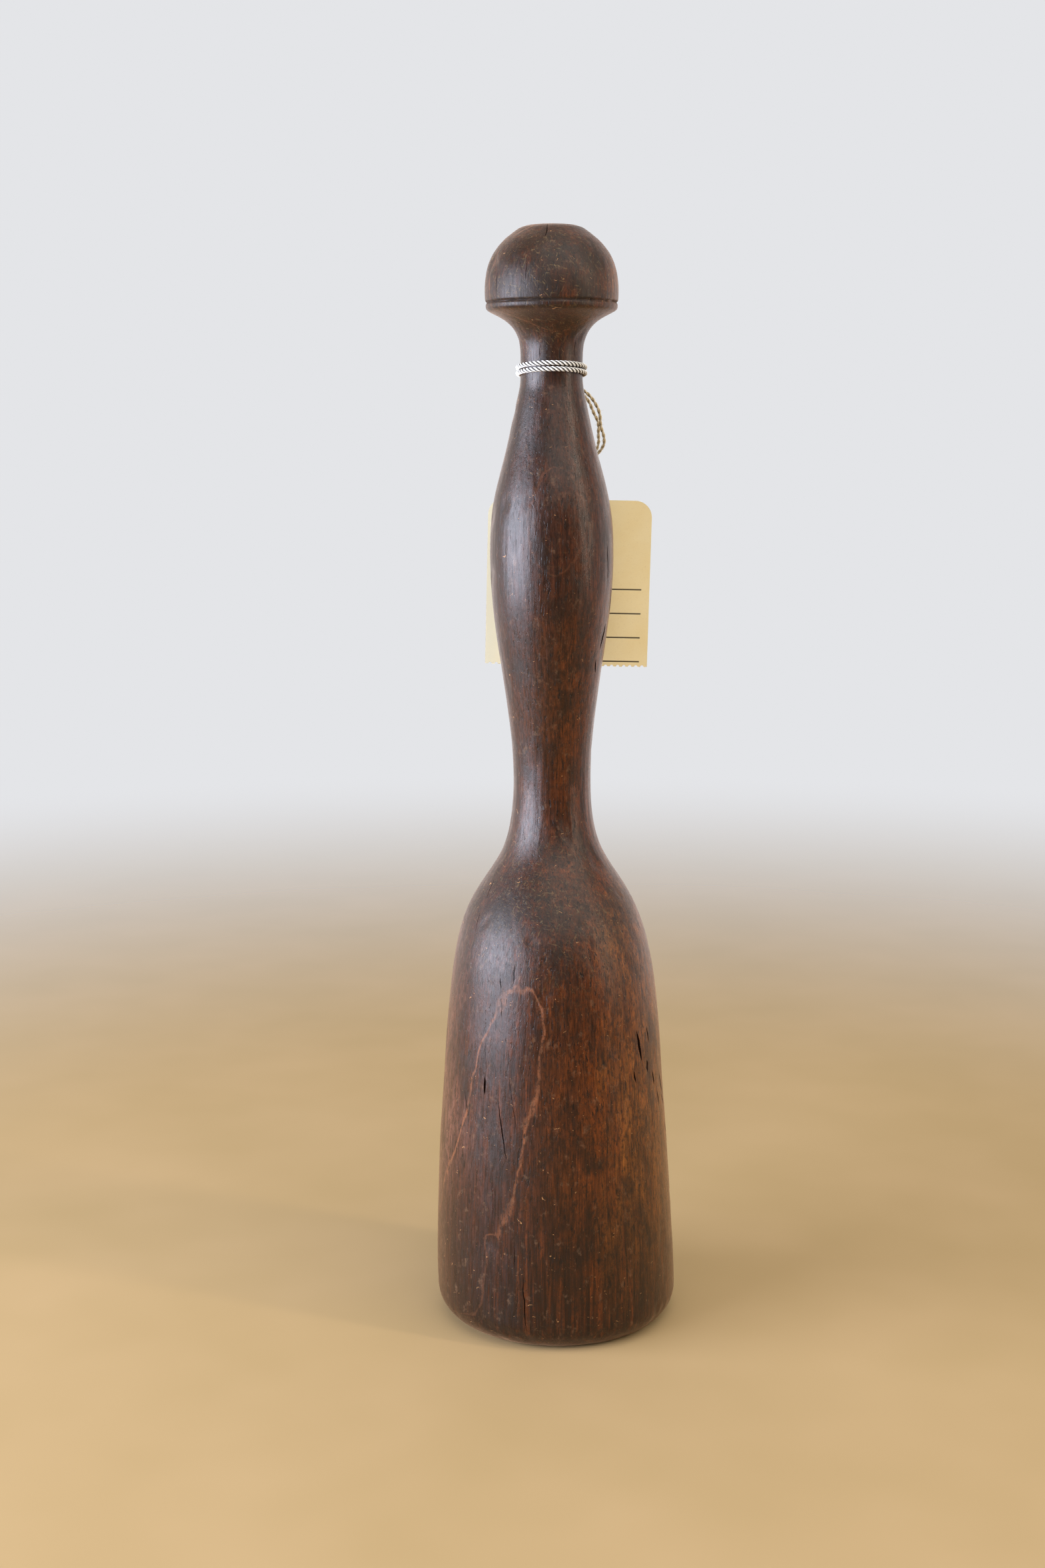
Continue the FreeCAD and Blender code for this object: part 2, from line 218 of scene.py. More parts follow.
def oiled_hardwood():
    """Close-grained hardwood such as beech, turned, then darkened by fat, smoke and hands.

    The figure is cut from rings about a heart that leans out of the billet, so one pale
    ring shows as a tall loop on the head.  Dirt lies in patches, fibres are raised,
    and the gloss is a hand polish that the grain breaks up.  Real fibres and pores are
    about 0.1 mm wide, which is too fine to show, so they are drawn at 0.4 to 0.5 mm.
    """
    material, tree, shader, at = start_material("oiled_hardwood")

    # distance from the heart, with the wander of real growth rings
    across = node(tree, VECTOR, {0: at, 1: (1, 0, -PITH_LEAN[0])}, out="Value",
                  operation="DOT_PRODUCT")
    deep = node(tree, VECTOR, {0: at, 1: (0, 1, -PITH_LEAN[1])}, out="Value",
                operation="DOT_PRODUCT")
    spot = node(tree, "ShaderNodeCombineXYZ", {0: across, 1: deep})
    heart = node(tree, VECTOR, {0: spot, 1: (*PITH_AT_FOOT, 0)}, out="Value",
                 operation="DISTANCE")
    wander = node(tree, MATH, {0: mottle(tree, at, (6, 6, 13), 2, 0.5), 1: 0.5},
                  operation="SUBTRACT")
    ring = node(tree, MATH, {0: wander, 1: 0.55, 2: heart}, operation="MULTIPLY_ADD")

    # how squarely the surface cuts the rings, so that a line keeps its width on the surface
    ray = node(tree, VECTOR, {0: spot, 1: (*PITH_AT_FOOT, 0)}, operation="SUBTRACT")
    ray = node(tree, VECTOR, {0: ray}, operation="NORMALIZE")
    out = node(tree, VECTOR, {0: at, 1: (1, 1, 0)}, operation="MULTIPLY")
    out = node(tree, VECTOR, {0: out}, operation="NORMALIZE")
    square = node(tree, VECTOR, {0: ray, 1: out}, operation="CROSS_PRODUCT")
    square = node(tree, VECTOR, {0: square}, out="Value", operation="LENGTH")
    square = node(tree, MATH, {0: square, 1: 0.08}, operation="MAXIMUM")

    # the colour across the billet: the wood's own purple-brown to foxy, with painted light on it
    sides = node(tree, VECTOR, {0: at, 1: (1 / 66, 0, 0)}, out="Value", operation="DOT_PRODUCT")
    sides = node(tree, MATH, {0: sides, 1: 0.5})
    drift = mottle(tree, at, (14, 14, 40), 3, 0.6, apart=4.0)
    sides = node(tree, MATH, {0: drift, 1: 0.45, 2: sides}, operation="MULTIPLY_ADD")
    # painted light: both ends of this ramp are paler than its middle, and the -X end cooler, as the
    # side windows would light them
    base = node(tree, RAMP, {0: sides}, stops=[
        (0.22, "#614035"), (0.45, "#3a2018"), (0.72, "#44220f"), (0.9, "#63300f"),
        (1.0, "#7d491d")])

    # the grip is smoked darker and more evenly than the head, and the wood is darker towards the
    # foot
    height = node(tree, "ShaderNodeSeparateXYZ", {0: at}, out="Z")
    up = node(tree, MATH, {0: height, 1: HEIGHT}, operation="DIVIDE")
    head_only = node(tree, RAMP, {0: up}, stops=[
        (0.38, (1, 1, 1, 1)), (0.57, (0.3, 0.3, 0.3, 1)), (0.88, (0.3, 0.3, 0.3, 1)),
        (0.92, (0.85, 0.85, 0.85, 1))])
    smoke = node(tree, RAMP, {0: up}, stops=[
        (0.52, (0, 0, 0, 1)), (0.78, (0.55, 0.55, 0.55, 1)), (0.88, (0.55, 0.55, 0.55, 1)),
        (0.92, (0.15, 0.15, 0.15, 1))])
    base = node(tree, MIX, {0: smoke, 6: base, 7: colour("#2c1b16")}, out=2, data_type="RGBA")
    base, _ = stain(tree, base, "#1d0b05", height, 64.0, 3.0, 0.9)

    # growth rings: each darkens outwards, then ends at a sharp step back to light
    count = node(tree, MATH, {0: ring, 1: RING_PITCH}, operation="DIVIDE")
    phase = node(tree, MATH, {0: count}, operation="FRACT")
    line = node(tree, RAMP, {0: phase}, stops=[
        (0.0, (0.0, 0.0, 0.0, 1)), (0.3, (0.25, 0.25, 0.25, 1)), (0.9, (1, 1, 1, 1)),
        (1.0, (0, 0, 0, 1))])
    line = node(tree, MATH, {0: line, 1: 0.35}, operation="MULTIPLY")
    base = node(tree, MIX, {0: line, 6: base, 7: colour("#20110b")}, out=2, data_type="RGBA")

    # bundles of fibre 1 to 1.5 mm wide, foxy and dark, then the fibres themselves
    foxy = node(tree, RANGE, {0: sides, 1: 0.35, 2: 0.85, 3: 0.2, 4: 0.7})
    foxy = node(tree, MATH, {0: foxy, 1: head_only}, operation="MULTIPLY")
    streak = mottle(tree, at, (1.1, 1.1, 60), 3, 0.5, apart=2.0)
    base, _ = stain(tree, base, "#5c2c10", streak, 0.47, 0.68, only_in=foxy)
    dark_streak = mottle(tree, at, (1.5, 1.5, 45), 4, 0.55, apart=5.0)
    base, _ = stain(tree, base, "#22120c", dark_streak, 0.48, 0.68, 0.6)
    fine = mottle(tree, at, (0.38, 0.38, 12), 4, 0.65, apart=3.0)
    fine_tone = node(tree, RANGE, {0: fine, 1: 0.3, 2: 0.7, 3: 0.3, 4: 1.75})
    base = node(tree, VECTOR, {0: base, "Scale": fine_tone}, operation="SCALE")

    # one pale ring, about a millimetre wide on the surface
    off_pale = node(tree, MATH, {0: ring, 1: PALE_RING}, operation="SUBTRACT")
    off_pale = node(tree, MATH, {0: off_pale}, operation="ABSOLUTE")
    off_pale = node(tree, MATH, {0: off_pale, 1: square}, operation="DIVIDE")
    worn = node(tree, RANGE, {0: mottle(tree, at, (4, 4, 12), 2, apart=7.0), 1: 0.16, 2: 0.42},
                interpolation_type="SMOOTHSTEP")
    above_foot = node(tree, RANGE, {0: height, 1: 24.0, 2: 50.0, 3: 0.25, 4: 1.0})
    shows = node(tree, MATH, {0: worn, 1: above_foot}, operation="MULTIPLY")
    shows = node(tree, MATH, {0: shows, 1: head_only}, operation="MULTIPLY")
    base, _ = stain(tree, base, "#784a31", off_pale, 0.7, 0.1, 0.85, only_in=shows)

    # dirt: smoky patches, dark specks about a millimetre across, and pale dust
    smoky = mottle(tree, at, (10, 10, 14), 6, 0.7, 0.6, apart=8.0)
    base, patch = stain(tree, base, "#1b110b", smoky, 0.46, 0.66, 0.7)
    fleck = mottle(tree, at, (0.9, 0.9, 1.8), 4, 0.75, apart=1.0)
    base, _ = stain(tree, base, "#1d130d", fleck, 0.46, 0.66, 0.75)
    dust = mottle(tree, at, (2.2, 2.2, 3.0), 4, 0.7, apart=6.0)
    base, _ = stain(tree, base, "#7a5c45", dust, 0.56, 0.74, 0.35)

    # dark grease on the knob and on the shoulder, where the grip hand never rubs
    greasy = node(tree, RAMP, {0: up},
                  stops=[(0.0, (0.35, 0.35, 0.35, 1)), (0.05, (0, 0, 0, 1)), (0.3, (0, 0, 0, 1)),
                         (0.4, (0.8, 0.8, 0.8, 1)), (0.5, (0.1, 0.1, 0.1, 1)),
                         (0.85, (0.15, 0.15, 0.15, 1)), (0.94, (0.85, 0.85, 0.85, 1))])
    grease = mottle(tree, at, (7, 7, 7), 5, 0.65, 0.4, apart=11.0)
    base, _ = stain(tree, base, "#1c1309", grease, 0.36, 0.6, 0.75, only_in=greasy)

    # short scratches in the grease, lying three ways
    for slant, apart in ((38, 31.0), (-24, 37.0), (81, 43.0)):
        turned = node(tree, "ShaderNodeVectorRotate",
                      {"Vector": at, "Angle": math.radians(slant)}, rotation_type="Y_AXIS")
        scratch = mottle(tree, turned, (0.45, 0.9, 3.6), 3, 0.6, apart=apart)
        base, _ = stain(tree, base, "#75603f", scratch, 0.6, 0.71, 0.5, only_in=greasy)

    # black in the scribed line round the knob: partly dirt lodged in it, partly painted shade in the
    # groove
    from_line = node(tree, MATH, {0: height, 1: GROOVE_Z}, operation="SUBTRACT")
    from_line = node(tree, MATH, {0: from_line}, operation="ABSOLUTE")
    groove_dirt_and_shade_patches = node(tree, RANGE, {0: mottle(tree, at, (3, 3, 1.5), 3, 0.6, apart=47.0),
                                1: 0.3, 2: 0.6}, interpolation_type="SMOOTHSTEP")
    # painted shade in the groove, laid over the dirt that lies there
    base, scribed = stain(tree, base, "#170e08", from_line, 0.7, 0.1, 0.8, only_in=groove_dirt_and_shade_patches)

    # short dark pores and hairline checks along the fibre
    open_grain = mottle(tree, at, (0.5, 0.5, 4.0), 2, 0.5, apart=13.0)
    base, pore = stain(tree, base, "#150c08", open_grain, 0.62, 0.69, 0.9)

    # knocks a millimetre or two across that took the dark skin off
    nick = mottle(tree, at, (1.6, 1.6, 1.1), 2, 0.5, 1.5, apart=17.0)
    base, _ = stain(tree, base, "#a3764c", nick, 0.725, 0.75, 0.8)
    tree.links.new(base, shader.inputs["Base Color"])

    # gloss from the hand, broken by the fibres, and duller in dirt and grease
    rough = node(tree, RANGE, {0: mottle(tree, at, (0.5, 0.5, 6), 4, 0.7, apart=21.0),
                               1: 0.3, 2: 0.7, 3: 0.2, 4: 0.4})
    rough = node(tree, MATH, {0: patch, 1: 0.07, 2: rough}, operation="MULTIPLY_ADD")
    rough = node(tree, MATH, {0: scribed, 1: 0.5, 2: rough}, operation="MULTIPLY_ADD")
    rough = node(tree, MATH, {0: greasy, 1: 0.18, 2: rough}, operation="MULTIPLY_ADD")
    tree.links.new(rough, shader.inputs["Roughness"])
    shader.inputs["IOR"].default_value = 1.5
    shader.inputs["Specular IOR Level"].default_value = 0.36
    shader.inputs["Sheen Weight"].default_value = 0.32
    shader.inputs["Sheen Roughness"].default_value = 0.4
    shader.inputs["Sheen Tint"].default_value = colour("#d9a67e")

    # raised fibres and sunk pores, then pits about a millimetre across
    fibre = node(tree, MATH, {0: pore, 1: -0.8, 2: fine}, operation="MULTIPLY_ADD")
    raised = node(tree, "ShaderNodeBump", {"Strength": 0.38, "Distance": 0.12 * MM, "Height": fibre})
    pitted = node(tree, "ShaderNodeBump",
                  {"Strength": 0.3, "Distance": 0.12 * MM, "Normal": raised,
                   "Height": mottle(tree, at, (0.9, 0.9, 1.6), 3, 0.6, apart=23.0)})
    tree.links.new(pitted, shader.inputs["Normal"])
    return material


def check_inside_shade():
    """The torn inside of a drying check: dry torn fibre, darkened to near-black as painted shade
    deep in the narrow split.
    """
    material, tree, shader, at = start_material("check_inside_shade")
    torn = mottle(tree, at, (0.4, 0.4, 4), 3)
    shade = node(tree, RAMP, {0: torn}, stops=[(0.35, "#0d0705"), (0.7, "#2b140c")])
    tree.links.new(shade, shader.inputs["Base Color"])
    shader.inputs["Roughness"].default_value = 0.85
    shader.inputs["Specular IOR Level"].default_value = 0.2
    return material


def spun_fibre(name, low, high, strand):
    """Undyed spun yarn: matt, with painted shade: each ply paler on its back and darker in the
    valleys between.

    Its shade attribute runs from 0 in the valley between two plies to 1 on the outside.
    Real fibres are about 0.02 mm wide, too fine to show; they are drawn at strand's size.
    """
    material, tree, shader, at = start_material(name)
    outside = node(tree, "ShaderNodeAttribute", out="Fac", attribute_name="PlyShade")
    hair = mottle(tree, at, strand, 3, 0.6)
    tone = node(tree, MATH, {0: hair, 1: 0.7, 2: -0.35}, operation="MULTIPLY_ADD")
    tone = node(tree, MATH, {0: tone, 1: outside})
    # low is painted shade in the valleys between plies; high is the yarn's own colour
    shade = node(tree, RAMP, {0: tone}, stops=[(0.0, low), (0.75, high)])
    tree.links.new(shade, shader.inputs["Base Color"])
    shader.inputs["Roughness"].default_value = 0.9
    shader.inputs["Specular IOR Level"].default_value = 0.2
    shader.inputs["Sheen Weight"].default_value = 0.25
    bump = node(tree, "ShaderNodeBump", {"Strength": 0.4, "Distance": 0.05 * MM, "Height": hair})
    tree.links.new(bump, shader.inputs["Normal"])
    return material


def manila_card():
    """Manila card, about 0.3 mm, calendered: buff, faintly fibrous, with printed writing lines,
    and painted light that makes it paler and cooler along its left edge.  Its fibres, really 0.03 mm
    wide, are drawn at 0.5 mm to show."""
    material, tree, shader, at = start_material("manila_card")
    level = node(tree, "ShaderNodeVectorRotate", {"Vector": at, "Center": TAG_PIVOT,
                                                  "Angle": -TAG_LEAN}, rotation_type="Y_AXIS")
    across = node(tree, "ShaderNodeSeparateXYZ", {0: level}, out="X")
    height = node(tree, "ShaderNodeSeparateXYZ", {0: level}, out="Z")
    left = TAG_HOLE.x - TAG_WIDTH / 2
    low = TAG_TOP - TAG_HEIGHT
    pulp = mottle(tree, at, (0.5, 0.5, 0.35), 4, 0.7)
    cloud = mottle(tree, at, (9, 9, 9), 3, 0.6, apart=3.0)
    buff = node(tree, RAMP, {0: cloud}, stops=[(0.35, "#f5e1ae"), (0.65, "#f8e7b9")])
    buff, _ = stain(tree, buff, "#b8935c", pulp, 0.55, 0.75, 0.22)
    # painted light: the left edge is tinted paler and cooler, as the cool left window would light it
    buff, _ = stain(tree, buff, "#cfc9ae", across, left + 9, left + 0.5, 0.8)

    # writing lines, 0.3 mm thick, short of the edges and on the front face only
    row = node(tree, MATH, {0: height, 1: low + TAG_FIRST_RULE}, operation="SUBTRACT")
    near = node(tree, MATH, {0: row, 1: TAG_RULE_PITCH / 2}, operation="PINGPONG")
    ruled = node(tree, MATH, {0: row, 1: (TAG_RULES - 0.5) * TAG_RULE_PITCH}, operation="LESS_THAN")
    from_mid = node(tree, MATH, {0: across, 1: TAG_RULE_MIDDLE}, operation="SUBTRACT")
    from_mid = node(tree, MATH, {0: from_mid}, operation="ABSOLUTE")
    inside = node(tree, MATH, {0: from_mid, 1: TAG_RULE_LENGTH / 2}, operation="LESS_THAN")
    ruled = node(tree, MATH, {0: ruled, 1: inside}, operation="MULTIPLY")
    facing = node(tree, "ShaderNodeTexCoord", out="Normal")
    facing = node(tree, "ShaderNodeSeparateXYZ", {0: facing}, out="Y")
    front = node(tree, MATH, {0: facing, 1: -0.5}, operation="LESS_THAN")
    ruled = node(tree, MATH, {0: ruled, 1: front}, operation="MULTIPLY")
    buff, _ = stain(tree, buff, "#2b241d", near, 0.23, 0.15, 0.92, only_in=ruled)
    tree.links.new(buff, shader.inputs["Base Color"])
    shader.inputs["Roughness"].default_value = 0.72
    shader.inputs["Specular IOR Level"].default_value = 0.3
    bump = node(tree, "ShaderNodeBump", {"Strength": 0.25, "Distance": 0.05 * MM, "Height": pulp})
    tree.links.new(bump, shader.inputs["Normal"])
    return material


FLOOR_R = 1000.0


def pale_floor():
    """A matt painted board that fades into the room at its rim."""
    material, tree, shader, at = start_material("pale_floor")
    shade = node(tree, RAMP, {0: mottle(tree, at, (60, 60, 60), 2)},
                 stops=[(0.3, "#aa9066"), (0.7, "#b0956c")])
    tree.links.new(shade, shader.inputs["Base Color"])
    shader.inputs["Roughness"].default_value = 0.95
    shader.inputs["Specular IOR Level"].default_value = 0.1
    away = node(tree, VECTOR, {0: at}, out="Value", operation="LENGTH")
    rim = node(tree, RANGE, {0: away, 1: 0.2 * FLOOR_R, 2: 0.9 * FLOOR_R, 3: 1.0, 4: 0.0},
               interpolation_type="SMOOTHSTEP")
    tree.links.new(rim, shader.inputs["Alpha"])
    return material


# ---- the turned billet --------------------------------------------------------------------
WOOD_SIDES = 60
FIRST_CUT = 0.15                   # lowest and highest places where the outline is taken
LAST_CUT = 289.75


def turned_radius(z):
    """Radius of the CAD billet at a height: the largest of 12 rays, because its facets
    lie a little inside the true circle."""
    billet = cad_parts["mallet_body"]
    found = 0.0
    for step in range(12):
        turn = Vector((math.cos(step * 0.51), math.sin(step * 0.51), 0))
        hit, place, _, _ = billet.ray_cast(turn * 0.2 + Vector((0, 0, z * MM)), -turn)
        if hit:
            found = max(found, math.hypot(place.x, place.y) / MM)
    return found


def profile_heights():
    """Heights at which the billet's outline is taken, closer where it turns sharply.
    Each stretch is its lowest and highest place, and how many places it has."""
    stretches = [(FIRST_CUT, 1.0, 3), (1.8, 9.0, 5), (14, 88, 9), (94, 136, 13), (142, 205, 9),
                 (211, 247, 7), (250, 259, 4), (260.5, 268.0, 6), (268.6, 270.1, 4),
                 (270.35, 271.25, 5), (271.6, 273.5, 3), (275.5, 286.0, 6), (286.9, 289.0, 4),
                 (LAST_CUT - 0.4, LAST_CUT, 3)]
    for low, high, count in stretches:
        for i in range(count):
            yield low + (high - low) * i / (count - 1)


def turned_billet():
    """A small disc is extruded out over the foot, up the outline and in over the knob."""
    foot_r = turned_radius(FIRST_CUT) - 1.0
    top_r = turned_radius(LAST_CUT) - 0.6
    ring_r, ring_z = foot_r * 0.12, 0.0
    bpy.ops.object.select_all(action="DESELECT")
    bpy.ops.mesh.primitive_circle_add(vertices=WOOD_SIDES, radius=ring_r * MM,
                                      fill_type="TRIFAN", location=(0, 0, 0))
    wood = bpy.context.object
    wood.name = "mallet_wood"
    rings = [(foot_r * part, 0.0) for part in (0.35, 0.6, 0.8, 0.93, 1.0)]
    rings += [(turned_radius(z), z) for z in profile_heights()]
    rings += [(top_r, HEIGHT - 0.05), (top_r * 0.8, HEIGHT), (top_r * 0.45, HEIGHT)]
    bpy.ops.object.mode_set(mode="EDIT")
    bpy.ops.mesh.select_mode(type="EDGE")
    bpy.ops.mesh.select_all(action="SELECT")
    bpy.ops.mesh.region_to_loop()
    for radius, z in rings:
        bpy.ops.mesh.extrude_edges_move(
            TRANSFORM_OT_translate={"value": (0, 0, (z - ring_z) * MM)})
        grow = radius / ring_r
        bpy.ops.transform.resize(value=(grow, grow, 1), center_override=(0, 0, z * MM))
        ring_r, ring_z = radius, z
    bpy.ops.mesh.extrude_edges_move()
    bpy.ops.mesh.merge(type="CENTER")
    bpy.ops.mesh.select_all(action="SELECT")
    bpy.ops.mesh.normals_make_consistent(inside=False)
    bpy.ops.object.mode_set(mode="OBJECT")
    apply_modifier(wood, "SUBSURF", levels=2, render_levels=2)
    return wood


def weather(wood):
    """Years of use: never quite round, raised grain, small dents and a bruised foot."""
    for vertex in wood.data.vertices:
        spot = vertex.co / MM
        around_neck = min(1.0, abs(spot.z - CORD_Z) / 8)
        out = Vector((spot.x, spot.y, 0))
        if out.length > 0.5:
            out.normalize()
        swell = 0.22 * noise.noise(spot * 0.05)
        grain = 0.05 * noise.noise(Vector((spot.x * 0.9, spot.y * 0.9, spot.z * 0.1)))
        dent = -0.9 * max(0.0, noise.noise(spot * 0.17 + Vector((9, 3, 5))) - 0.42)
        bruised = max(0.0, 1 - spot.z / 12)
        dent -= bruised * 0.9 * max(0.0, noise.noise(spot * 0.28 + Vector((2, 8, 1))) - 0.15)
        vertex.co += out * (swell + grain + dent) * around_neck * MM
        # the head was turned off centre: its foot stands a little to one side
        aside = 0.3 * max(0.0, 1 - spot.z / 240) + 1.3 * math.exp(-spot.z / 28)
        vertex.co.x += aside * around_neck * MM


# drying checks: angle and height of the lower end, of the upper end, then width and depth
CHECKS = [
    (-8, 286.0, -8, 289.7, 0.35, 1.2), (-54, 272.5, -55, 278.0, 0.3, 1.0),
    (-23, 275.0, -23, 280.5, 0.25, 0.8), (-23, 256.5, -23, 260.5, 0.25, 0.6),
    (46, 256.5, 46, 263.0, 0.25, 0.8), (65, 200.0, 62, 210.5, 0.7, 1.0),
    (80, 191.5, 75, 199.0, 1.0, 1.2), (63, 182.5, 69, 189.5, 1.4, 1.6),
    (60, 176.5, 57, 180.5, 1.0, 1.3), (-59, 117.0, -64, 122.5, 0.3, 1.0),
    (-58, 109.0, -60, 114.5, 0.3, 1.0), (-23, 98.0, -23, 103.5, 0.4, 1.2),
    (-31, 96.5, -32, 99.5, 0.4, 1.0), (-29, 88.0, -30, 94.0, 0.25, 0.9),
    (-38, 75.5, -39, 82.5, 0.22, 0.8), (-38, 68.0, -38, 73.0, 1.1, 1.6),
    (-19, 59.5, -24, 74.5, 0.25, 1.0), (-24, 51.0, -30, 68.0, 0.5, 2.0),
    (-49, 61.0, -53, 68.0, 0.35, 1.0), (-20, 22.5, -20, 29.5, 0.3, 1.0),
    (-31, 33.0, -32, 48.0, 0.2, 0.8), (-15, 5.5, -16, 22.0, 0.45, 1.6),
    (53, 75.0, 50, 84.0, 1.5, 1.8), (58, 71.5, 58, 75.0, 1.3, 1.4),
    (81, 59.0, 74, 69.0, 1.3, 1.6), (47, 70.0, 46, 73.5, 0.8, 1.0),
    (65, 66.5, 63, 71.5, 1.0, 1.2), (70, 60.5, 69, 65.0, 0.9, 1.1),
    (84, 48.0, 80, 55.0, 0.9, 1.2), (61, 79.0, 60, 84.0, 0.8, 1.0),
]


def hidden_checks():
    """The same kind of check, scattered over the rest of the billet."""
    chance = random.Random(11)
    for _ in range(14):
        angle = chance.uniform(105, 265)
        low = chance.choice([chance.uniform(8, 90), chance.uniform(150, 235)])
        tall = chance.uniform(5, 16)
        yield (angle, low, angle + chance.uniform(-4, 4), low + tall,
               chance.uniform(0.22, 0.5), chance.uniform(0.8, 1.6))


TRIANGLE_WIDTH = 1.7               # of a three-cornered circle with a radius of 1


def check_wedge(low_angle, low, high_angle, high, width, depth):
    """A check as a solid: a three-cornered wedge, thin edge inwards, closing at both ends."""
    steps = max(6, int((high - low) / 1.5))
    middle = (low_angle + high_angle) / 2
    bpy.ops.object.select_all(action="DESELECT")
    bpy.ops.mesh.primitive_circle_add(vertices=3, radius=MM, fill_type="NGON", location=(0, 0, 0))
    wedge = bpy.context.object
    bpy.ops.object.mode_set(mode="EDIT")
    bpy.ops.mesh.select_all(action="SELECT")
    was, was_open = Vector(), 1.0
    for i in range(steps + 1):
        part = i / steps
        z = low + (high - low) * part
        open_by = max(0.04, math.sin(math.pi * part) ** 0.7)
        waver = 0.25 * noise.noise(Vector((low_angle, low, z * 0.45)))
        angle = low_angle + (high_angle - low_angle) * part - middle
        spot = around(angle, turned_radius(z), z) + Vector((waver, 0, 0))
        if i:
            bpy.ops.mesh.extrude_region_move(
                TRANSFORM_OT_translate={"value": (spot - was) * MM})
            grow = (open_by / was_open,) * 2
        else:
            bpy.ops.transform.translate(value=spot * MM)
            grow = (open_by * width / TRIANGLE_WIDTH, open_by * depth)
        bpy.ops.transform.resize(value=(*grow, 1), center_override=spot * MM)
        was, was_open = spot, open_by
    bpy.ops.mesh.select_all(action="SELECT")
    bpy.ops.mesh.normals_make_consistent(inside=False)
    bpy.ops.object.mode_set(mode="OBJECT")
    wedge.rotation_euler.z = math.radians(middle)
    make_active(wedge)
    bpy.ops.object.transform_apply(location=True, rotation=True, scale=True)
    return wedge


def cut_checks(wood):
    cutter = join([check_wedge(*sizes) for sizes in CHECKS + list(hidden_checks())], "checks")
    # the cut faces take a near-black material: painted shade inside the checks
    cutter.data.materials.append(check_inside_shade())
    apply_modifier(wood, "BOOLEAN", operation="DIFFERENCE", solver="EXACT", object=cutter,
                   material_mode="TRANSFER")
    bpy.data.objects.remove(cutter)


def mallet_wood():
    wood = turned_billet()
    wood.data.materials.append(oiled_hardwood())
    cut_checks(wood)
    weather(wood)
    finish_piece(wood, "mallet", "aged_hardwood", "mallet_body")


# ---- cords --------------------------------------------------------------------------------
def route_points(points, step=0.15):
    """A smooth line through a route's control points, read off at an even step, in mm."""
    curve = bpy.data.curves.new("route", "CURVE")
    curve.dimensions = "3D"
    curve.resolution_u = 24
    spline = curve.splines.new("NURBS")
    spline.points.add(len(points) - 1)
    for control, point in zip(spline.points, points):
        control.co = (*point, 1)
    spline.order_u = 3
    spline.use_endpoint_u = True
    holder = bpy.data.objects.new("route", curve)
    line = bpy.data.meshes.new_from_object(holder)
    fine = [vertex.co.copy() for vertex in line.vertices]
    bpy.data.objects.remove(holder)
    even, left = [fine[0]], step
    for start, end in zip(fine, fine[1:]):
        run = (end - start).length
        while run > 0 and left <= run:
            start = start + (end - start) * (left / run)
            run -= left
            even.append(start)
            left = step
        left -= run
    return even


def fibre_mesh(name, points, faces, outside, yarn):
    """A piece from points in metres, with the attribute for painted shade between plies that its
    yarn reads.
    """
    mesh = bpy.data.meshes.new(name)
    mesh.from_pydata(points, [], faces)
    shade = mesh.attributes.new("PlyShade", "FLOAT", "POINT")
    shade.data.foreach_set("value", outside)
    mesh.materials.append(yarn)
    piece = bpy.data.objects.new(name, mesh)
    bpy.context.collection.objects.link(piece)
    return piece


def lay_up(name, line, yarn, diameter, plies, lay, sides=8, press=1.03):
    """Plies twisted about a line.  lay is the length of one full twist, and press is how
    far the plies are squeezed into each other."""
    ply_r = diameter / 2 / (1 + 1 / math.sin(math.pi / plies)) * press
    twist_r = diameter / 2 - ply_r
    points, faces, outside = [], [], []
    side = (line[1] - line[0]).orthogonal().normalized()
    run = 0.0
    frames = []
    for i, spot in enumerate(line):
        ahead = (line[min(i + 1, len(line) - 1)] - line[max(i - 1, 0)]).normalized()
        side = (side - ahead * side.dot(ahead)).normalized()
        frames.append((spot, ahead, side, ahead.cross(side), run))
        if i + 1 < len(line):
            run += (line[i + 1] - spot).length
    for ply in range(plies):
        first = len(points)
        for spot, ahead, side, up, run in frames:
            turn = 2 * math.pi * (run / lay + ply / plies)
            away = side * math.cos(turn) + up * math.sin(turn)
            along = ahead.cross(away)
            thick = ply_r * (1 + 0.12 * noise.noise(Vector((run * 1.3, ply * 9, 0))))
            for k in range(sides):
                a = 2 * math.pi * k / sides
                push = away * math.cos(a) + along * math.sin(a)
                points.append((spot + away * twist_r + push * thick) * MM)
                # how far this face looks out of the cord: the yarn paints shade on faces that look
                # inwards, between plies
                outside.append(max(0.0, math.cos(a)))
        rings = len(frames)
        for i in range(rings - 1):
            for k in range(sides):
                a, b = first + i * sides + k, first + i * sides + (k + 1) % sides
                faces.append((a, b, b + sides, a + sides))
        faces.append([first + k for k in range(sides)][::-1])
        faces.append([first + (rings - 1) * sides + k for k in range(sides)])
    return fibre_mesh(name, points, faces, outside, yarn)


